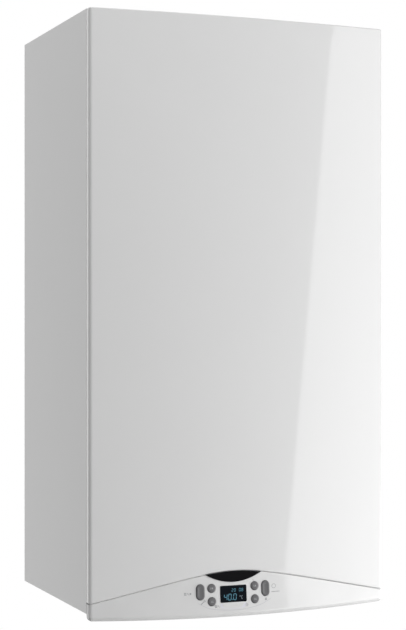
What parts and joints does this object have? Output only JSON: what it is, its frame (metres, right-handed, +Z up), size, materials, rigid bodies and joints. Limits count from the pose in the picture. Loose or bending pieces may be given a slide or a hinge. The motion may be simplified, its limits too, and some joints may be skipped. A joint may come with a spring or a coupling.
{
  "type": "wall-hung combi boiler",
  "caption": "White wall-hung combination boiler: crowned front panel over an arched control fascia with keys and a lit display, with its burner, fan, pump, valves and pipe tails inside.",
  "frame": {"origin": "middle of the hanging bracket's back face, on the wall, at the height of its screw holes", "axes": "+X to the boiler's right as seen from the front, +Y into the wall, +Z up"},
  "size_m": [0.4, 0.3191, 0.783],
  "materials": {
    "white_steel": "smooth gloss powder coat",
    "white_plastic": "gloss",
    "key_grey": "satin",
    "gloss_black": "high gloss",
    "galvanised": "zinc coated",
    "stainless": "brushed",
    "cast_aluminium": "as cast",
    "composite": "glass-filled, matt",
    "copper": "drawn copper",
    "black_plastic": "matt",
    "black_iron": "black dip coat",
    "red_paint": "gloss",
    "red_plastic": "satin",
    "blue_plastic": "satin",
    "clear_grey_plastic": "natural polypropylene",
    "circuit_board": "solder mask",
    "ceramic": "fired",
    "rubber": "matt",
    "wheel_plastic": "moulded"
  },
  "bodies": {
    "chassis": {"wall_bracket": "galvanised", "rear_frame": "galvanised", "left_side_panel": "white_steel", "right_side_panel": "white_steel", "top_panel": "galvanised", "bottom_plate": "galvanised", "cable_gland": "black_plastic", "gauge_body": "black_plastic", "heat_exchanger_shell": "stainless", "heat_exchanger_coil": "stainless", "burner_tube": "stainless", "burner_door": "cast_aluminium", "flue_duct": "clear_grey_plastic", "flue_collar": "white_plastic", "fan_housing": "cast_aluminium", "air_gas_mixer": "cast_aluminium", "intake_silencer": "black_plastic", "ignition_electrode": "ceramic", "flow_tail": "copper", "hot_water_tail": "copper", "gas_tail": "copper", "cold_water_tail": "copper", "return_tail": "copper", "flow_block": "composite", "return_block": "composite", "diverter_motor": "black_plastic", "pump_housing": "black_iron", "pump_motor": "cast_aluminium", "plate_heat_exchanger": "stainless", "gas_valve": "cast_aluminium", "gas_pipe": "copper", "flow_pipe": "copper", "return_pipe": "copper", "expansion_vessel": "red_paint", "condensate_trap": "clear_grey_plastic", "condensate_hose": "rubber", "main_board_box": "black_plastic", "main_board": "circuit_board", "main_board_lid": "black_plastic"},
    "front_panel": {"front_panel": "white_steel", "casing_screw_left": "galvanised", "casing_screw_right": "galvanised"},
    "control_panel": {"control_fascia": "white_plastic", "badge_plate": "gloss_black", "display_window": "gloss_black", "display_board": "circuit_board", "control_rear_cover": "black_plastic"},
    "upper_left_button": {"upper_left_button": "key_grey"},
    "lower_left_button": {"lower_left_button": "key_grey"},
    "upper_right_button": {"upper_right_button": "key_grey"},
    "lower_right_button": {"lower_right_button": "key_grey"},
    "left_rocker": {"left_rocker": "key_grey"},
    "right_rocker": {"right_rocker": "key_grey"},
    "fan_impeller": {"fan_impeller": "wheel_plastic"},
    "pump_impeller": {"pump_impeller": "wheel_plastic"},
    "flow_turbine": {"flow_turbine": "blue_plastic"},
    "diverter_spindle": {"diverter_spindle": "stainless"},
    "safety_valve_knob": {"safety_valve_knob": "red_plastic"},
    "filling_tap_knob": {"filling_tap_knob": "blue_plastic"},
    "gauge_pointer": {"gauge_pointer": "red_plastic"}
  },
  "joints": [
    {"name": "front_panel_slide", "type": "slide", "parent": "chassis", "child": "front_panel", "axis": [0, -1, 0], "range_m": [0, 0.25]},
    {"name": "control_panel_hinge", "type": "hinge", "parent": "chassis", "child": "control_panel", "pos_m": [0, -0.266, -0.684], "axis": [1, 0, 0], "range_deg": [0, 80]},
    {"name": "upper_left_press", "type": "slide", "parent": "control_panel", "child": "upper_left_button", "axis": [0.0072, 0.9956, -0.093], "range_m": [0, 0.0012], "stiffness_N_per_m": 800},
    {"name": "lower_left_press", "type": "slide", "parent": "control_panel", "child": "lower_left_button", "axis": [0.0072, 0.9956, -0.093], "range_m": [0, 0.0012], "stiffness_N_per_m": 800},
    {"name": "upper_right_press", "type": "slide", "parent": "control_panel", "child": "upper_right_button", "axis": [0.0072, 0.9956, -0.093], "range_m": [0, 0.0012], "stiffness_N_per_m": 800},
    {"name": "lower_right_press", "type": "slide", "parent": "control_panel", "child": "lower_right_button", "axis": [0.0072, 0.9956, -0.093], "range_m": [0, 0.0012], "stiffness_N_per_m": 800},
    {"name": "left_rocker_tilt", "type": "hinge", "parent": "control_panel", "child": "left_rocker", "pos_m": [-0.05926, -0.31087, -0.66129], "axis": [1, -0.0072, 0], "range_deg": [-4, 4], "stiffness_Nm_per_rad": 0.2},
    {"name": "right_rocker_tilt", "type": "hinge", "parent": "control_panel", "child": "right_rocker", "pos_m": [0.02834, -0.31173, -0.66127], "axis": [1, -0.0072, 0], "range_deg": [-4, 4], "stiffness_Nm_per_rad": 0.2},
    {"name": "fan_spin", "type": "hinge", "parent": "chassis", "child": "fan_impeller", "pos_m": [0.038, -0.23, -0.295], "axis": [0, 1, 0], "continuous": true},
    {"name": "pump_spin", "type": "hinge", "parent": "chassis", "child": "pump_impeller", "pos_m": [0.134, -0.12, -0.495], "axis": [0, 1, 0], "continuous": true},
    {"name": "flow_turbine_spin", "type": "hinge", "parent": "chassis", "child": "flow_turbine", "pos_m": [0.067, -0.095, -0.615], "axis": [0, 0, 1], "continuous": true},
    {"name": "diverter_stroke", "type": "slide", "parent": "chassis", "child": "diverter_spindle", "axis": [0, 0, 1], "range_m": [0, 0.005]},
    {"name": "safety_valve_turn", "type": "hinge", "parent": "chassis", "child": "safety_valve_knob", "pos_m": [0.134, -0.146, -0.61], "axis": [0, -1, 0], "range_deg": [0, 90]},
    {"name": "filling_tap_turn", "type": "hinge", "parent": "chassis", "child": "filling_tap_knob", "pos_m": [0.1, -0.11, -0.684], "axis": [0, 0, -1], "range_deg": [0, 90]},
    {"name": "gauge_pointer_turn", "type": "hinge", "parent": "chassis", "child": "gauge_pointer", "pos_m": [-0.03, -0.215, -0.6875], "axis": [0, 0, -1], "range_deg": [-100, 100], "stiffness_Nm_per_rad": 0.0005}
  ]
}
